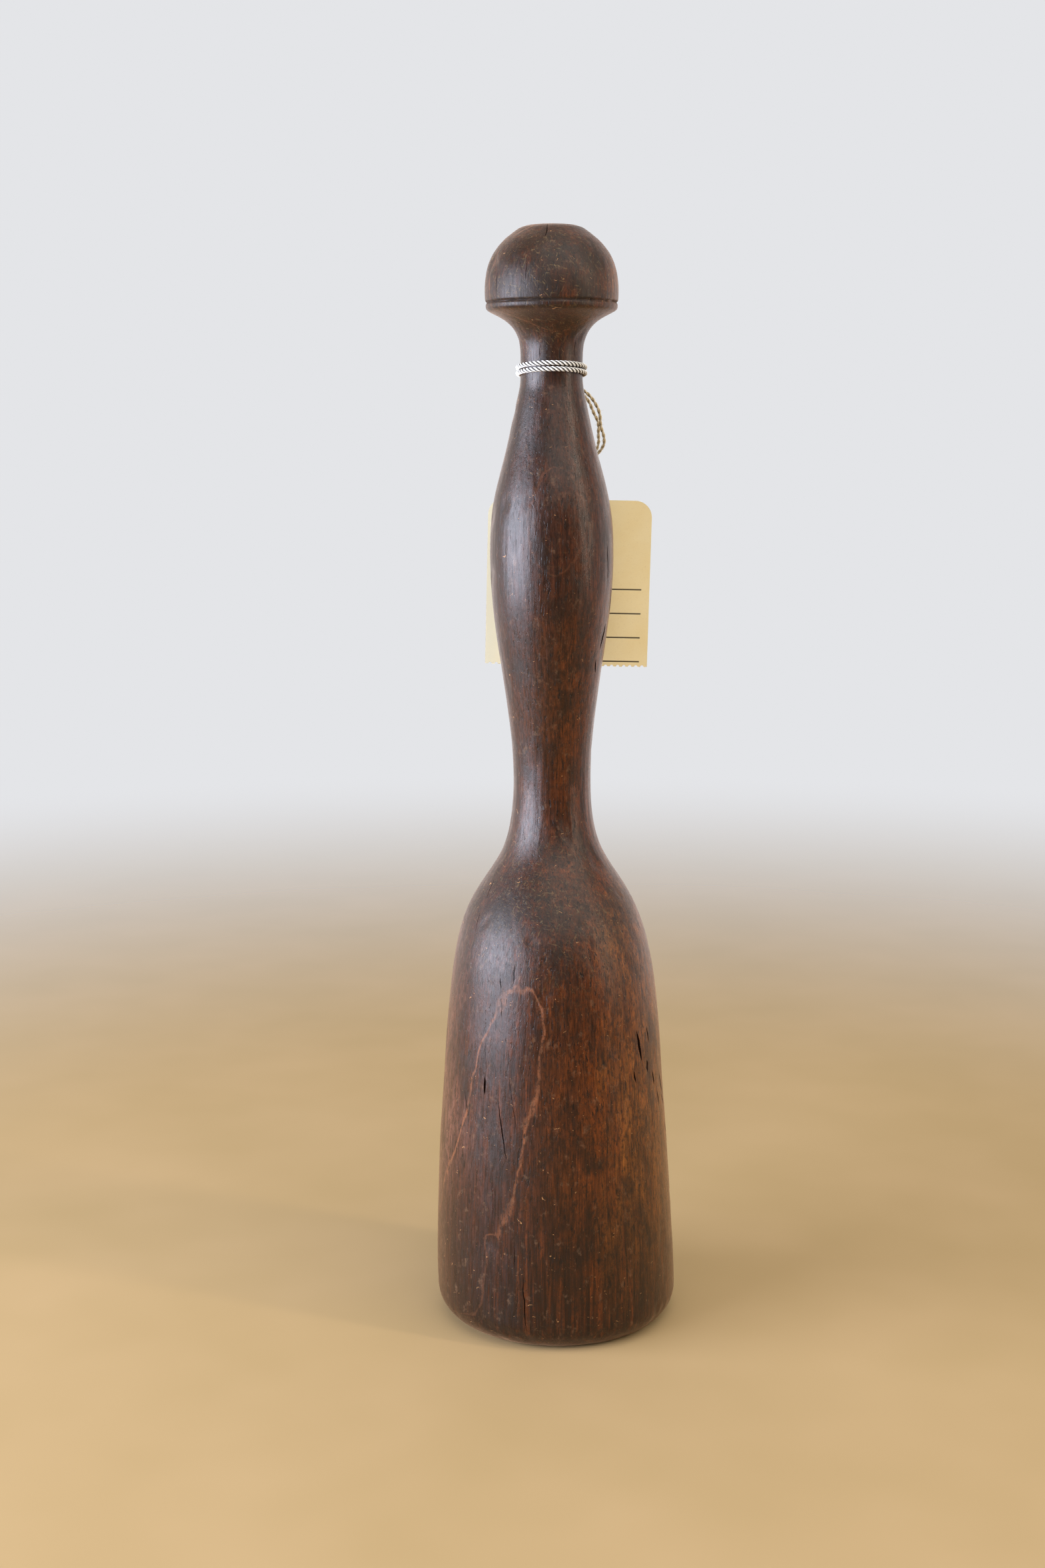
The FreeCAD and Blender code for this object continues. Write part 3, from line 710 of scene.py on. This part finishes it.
def fuzz(name, line, yarn, radius, count, length, seed):
    """Loose fibres that stand off a cord: thin three-sided hairs, a few links each."""
    chance = random.Random(seed)
    points, faces, outside = [], [], []
    for _ in range(count):
        spot = chance.choice(line)
        way = Vector([chance.gauss(0, 1) for _ in range(3)]).normalized()
        spot = spot + way * radius * 0.6
        reach = length * chance.uniform(0.3, 1.0)
        first, links = len(points), 5
        for i in range(links):
            thin = 0.02 * (1 - 0.7 * i / links)
            side = way.orthogonal().normalized()
            up = way.cross(side)
            for k in range(3):
                a = 2 * math.pi * k / 3
                points.append((spot + (side * math.cos(a) + up * math.sin(a)) * thin) * MM)
                # a loose hair takes little of the yarn's painted shade
                outside.append(0.8)
            way = (way + Vector([chance.gauss(0, 0.45) for _ in range(3)])).normalized()
            spot = spot + way * reach / links
        for i in range(links - 1):
            for k in range(3):
                a, b = first + i * 3 + k, first + i * 3 + (k + 1) % 3
                faces.append((a, b, b + 3, a + 3))
        faces.append((first + 2, first + 1, first))
        faces.append(tuple(first + (links - 1) * 3 + k for k in range(3)))
    return fibre_mesh(name, points, faces, outside, yarn)


def winding_line():
    """Two turns round the neck, which leave the knot behind it and come back to it."""
    points = []
    per_turn = 48
    for i in range(2 * per_turn + 1):
        part = i / per_turn                    # turns from the back
        cross = min(1.0, max(0.0, (part - 0.95) / 0.1))
        level = CORD_TURN_PITCH * (0.5 - cross * cross * (3 - 2 * cross))
        to_end = min(part, 2 - part)
        out = CORD_R + 1.2 * max(0.0, 1 - to_end / 0.05) ** 2
        spot = around(CORD_START - 360 * part, out, level)
        spot.z += CORD_Z - math.tan(CORD_TILT) * spot.y
        points.append(spot)
    return route_points(points)


TREFOIL_REACH = 2.75


def tight_knot(name, yarn, centre, half, diameter, plies, lay):
    """An overhand knot pulled tight, as a closed trefoil squeezed to its size."""
    room = Vector(half) - Vector((diameter, diameter, diameter)) / 2
    line = []
    for i in range(181):
        t = 2 * math.pi * i / 180
        across = (math.sin(t) + 2 * math.sin(2 * t)) / TREFOIL_REACH
        up = (math.cos(t) - 2 * math.cos(2 * t)) / TREFOIL_REACH
        line.append(centre + Vector((across * room.x, -math.sin(3 * t) * room.y, up * room.z)))
    return lay_up(name, line, yarn, diameter, plies, lay)


def neck_cord(cotton):
    """White cotton cord, laid from three plies, wound twice round the neck."""
    line = winding_line()
    winding = lay_up("neck_cord", line, cotton, CORD_D, 3, 3.6)
    length = sum((b - a).length for a, b in zip(line, line[1:]))
    finish_piece(winding, "neck_cord", "cotton_cord", "neck_cord_turns")
    knot = [tight_knot("knot", cotton, CORD_KNOT, (2.5, 1.5, 1.7), 1.2, 3, 2.9)]
    tails = [route_points(points) for points in CORD_TAILS]
    knot += [lay_up("tail", tail, cotton, 1.15, 3, 2.7) for tail in tails]
    knot = join(knot, "neck_knot")
    finish_piece(knot, "neck_cord", "cotton_cord", "neck_cord_knot")
    frayed_ends = [point for tail in tails for point in tail[-4:] * 12]
    hairs = fuzz("neck_cord_fuzz", line + frayed_ends, cotton, 0.6, 170, 0.7, 3)
    finish_piece(hairs, "neck_cord", "cotton_cord")


def tag_twine(jute):
    """Two-ply jute twine, knotted to the neck cord and looped through the tag."""
    line = route_points(TWINE_ROUTE)
    twine = lay_up("tag_twine_laid", line, jute, TWINE_D, 2, 3.4, sides=10, press=1.3)
    length = sum((b - a).length for a, b in zip(line, line[1:]))
    finish_piece(twine, "tag_twine", "jute_twine", "tag_twine")
    hairy_part = line[:len(line) // 2] + line[-220:] * 2
    hairs = fuzz("twine_fuzz", hairy_part, jute, 0.45, 230, 2.0, 5)
    finish_piece(hairs, "tag_twine", "jute_twine")
    knot = [tight_knot("twine_tie", jute, TWINE_KNOT, (1.45, 1.3, 1.4), 0.85, 2, 2.6),
            lay_up("hitch", route_points(TWINE_HITCH), jute, TWINE_D, 2, 3.0)]
    knot = join(knot, "twine_tie")
    finish_piece(knot, "neck_cord", "jute_twine", "twine_knot")


# ---- the tag --------------------------------------------------------------------------------
def card_cutter():
    """The punch for the hole and the row of perforations along the torn lower edge."""
    punches = [(TAG_HOLE.x, TAG_HOLE.z, TAG_HOLE_R, 32)]
    teeth = int(TAG_WIDTH / TAG_TOOTH_PITCH)
    for i in range(teeth):
        x = TAG_HOLE.x + (i - (teeth - 1) / 2) * TAG_TOOTH_PITCH
        punches.append((x, TAG_TOP - TAG_HEIGHT, TAG_TOOTH_R, 12))
    made = []
    for x, z, radius, sides in punches:
        bpy.ops.object.select_all(action="DESELECT")
        bpy.ops.mesh.primitive_cylinder_add(
            vertices=sides, radius=radius * MM, depth=4 * MM,
            location=(x * MM, TAG_Y * MM, z * MM), rotation=(math.radians(90), 0, 0))
        made.append(bpy.context.object)
    return join(made, "punches")


def tag_card():
    """Card cut to size with round upper corners, punched, torn off its neighbour and curled."""
    bpy.ops.object.select_all(action="DESELECT")
    bpy.ops.mesh.primitive_plane_add(size=MM, rotation=(math.radians(90), 0, 0), location=(
        TAG_HOLE.x * MM, (TAG_Y + TAG_THICK / 2) * MM, (TAG_TOP - TAG_HEIGHT / 2) * MM))
    card = bpy.context.object
    card.name = "tag_manila"
    card.scale = (TAG_WIDTH, TAG_HEIGHT, 1)
    bpy.ops.object.transform_apply(location=True, rotation=True, scale=True)
    bpy.ops.object.mode_set(mode="EDIT")
    bpy.ops.mesh.select_mode(type="VERT")
    bpy.ops.mesh.select_all(action="DESELECT")
    bpy.ops.object.mode_set(mode="OBJECT")
    for vertex in card.data.vertices:
        vertex.select = vertex.co.z > (TAG_TOP - 1) * MM
    bpy.ops.object.mode_set(mode="EDIT")
    bpy.ops.mesh.bevel(offset=TAG_CORNER_R * MM, segments=10, affect="VERTICES")
    bpy.ops.mesh.select_all(action="SELECT")
    bpy.ops.mesh.extrude_region_move(
        TRANSFORM_OT_translate={"value": (0, -TAG_THICK * MM, 0)})
    bpy.ops.mesh.select_all(action="SELECT")
    bpy.ops.mesh.normals_make_consistent(inside=False)
    bpy.ops.object.mode_set(mode="OBJECT")
    punches = card_cutter()
    apply_modifier(card, "BOOLEAN", operation="DIFFERENCE", solver="EXACT", object=punches)
    bpy.data.objects.remove(punches)
    make_active(card)
    bpy.ops.object.mode_set(mode="EDIT")
    for way, low, size in ((0, TAG_HOLE.x - TAG_WIDTH / 2, TAG_WIDTH),
                           (2, TAG_TOP - TAG_HEIGHT, TAG_HEIGHT)):
        for i in range(1, 22):
            place, facing = Vector((0, 0, 0)), Vector((0, 0, 0))
            place[way] = (low + size * i / 22) * MM
            facing[way] = 1
            bpy.ops.mesh.select_all(action="SELECT")
            bpy.ops.mesh.bisect(plane_co=place, plane_no=facing)
    bpy.ops.object.mode_set(mode="OBJECT")
    for vertex in card.data.vertices:
        spot = vertex.co / MM
        from_hole = (spot - TAG_HOLE).length
        calm = min(1.0, max(0.0, (from_hole - 4) / 14))
        curl = 0.012 * (spot.x - TAG_HOLE.x) ** 2 * 0.12 + 0.35 * noise.noise(spot * 0.045)
        vertex.co.y += curl * calm * MM
        ragged = max(0.0, 1 - (spot.z - TAG_TOP + TAG_HEIGHT) / 0.5)
        vertex.co.z += 0.12 * ragged * noise.noise(spot * 2.5) * MM
    turn = Matrix.Rotation(TAG_LEAN, 4, "Y")
    at_pivot = Matrix.Translation(TAG_PIVOT * MM)
    card.data.transform(at_pivot @ turn @ at_pivot.inverted())
    card.data.materials.append(manila_card())
    finish_piece(card, "tag", "manila_card", "tag_card")


# ---- floor, lights and camera -----------------------------------------------------------------
def floor():
    bpy.ops.object.select_all(action="DESELECT")
    bpy.ops.mesh.primitive_circle_add(vertices=64, radius=FLOOR_R * MM, fill_type="NGON",
                                      location=(0, 0, 0))
    ground = bpy.context.object
    ground.name = "floor"
    ground.data.materials.append(pale_floor())


def soft_light(name, angle, away, height, wide, tall, power, shade):
    """A soft rectangular light at an angle from the front, facing the mallet."""
    data = bpy.data.lights.new(name, "AREA")
    data.shape = "RECTANGLE"
    data.size = wide
    data.size_y = tall
    data.energy = power
    data.color = colour(shade)[:3]
    lamp = bpy.data.objects.new(name, data)
    lamp.location = around(angle, away, height)
    facing = Vector((0, 0, 0.16)) - lamp.location
    lamp.rotation_euler = facing.to_track_quat("-Z", "Y").to_euler()
    bpy.context.collection.objects.link(lamp)


def studio():
    """A pale room, brighter behind and low down, with a window each side and a skylight."""
    world = bpy.data.worlds.new("room")
    bpy.context.scene.world = world
    world.use_nodes = True
    tree = world.node_tree
    glow = tree.nodes["Background"]
    way = node(tree, "ShaderNodeTexCoord", out="Generated")
    back = node(tree, VECTOR, {0: way, 1: (0, 0.9, -0.45)}, out="Value", operation="DOT_PRODUCT")
    lit = node(tree, RANGE, {0: back, 1: -0.5, 2: 0.85, 3: 0.08, 4: 1.8},
               interpolation_type="SMOOTHSTEP")
    seen = node(tree, "ShaderNodeLightPath", out="Is Camera Ray")
    strength = node(tree, MIX, {0: seen, 2: lit, 3: 0.98})
    tree.links.new(strength, glow.inputs["Strength"])
    glow.inputs["Color"].default_value = colour("#e6e7ea")
    soft_light("left window", -68, 0.9, 0.26, 0.9, 0.5, 24, "#e4ebff")
    soft_light("right window", 66, 0.9, 0.45, 0.06, 0.8, 3.5, "#fff0dd")
    soft_light("skylight", 25, 0.7, 1.2, 1.5, 1.5, 17, "#fffdf8")
    bpy.context.scene.view_settings.view_transform = "Standard"


def camera():
    """A 47 mm lens, a little over half a metre in front, looking slightly down."""
    data = bpy.data.cameras.new("camera")
    data.lens = 46.93
    data.sensor_width = 36
    data.clip_start = 0.01
    view = bpy.data.objects.new("camera", data)
    view.location = (-0.0075, -0.535, 0.238)
    view.rotation_euler = (math.radians(90 - 9.73), math.radians(0.15), 0)
    bpy.context.collection.objects.link(view)
    bpy.context.scene.camera = view


floor()
mallet_wood()
# each yarn's first colour is painted shade in the valleys between its plies, the second its own
# colour
cotton = spun_fibre("cotton_cord", "#4a4641", "#f4f2ee", (0.25, 0.25, 0.25))
neck_cord(cotton)
jute = spun_fibre("jute_twine", "#ab9873", "#dac9a9", (0.2, 0.2, 0.8))
tag_twine(jute)
tag_card()
studio()
camera()
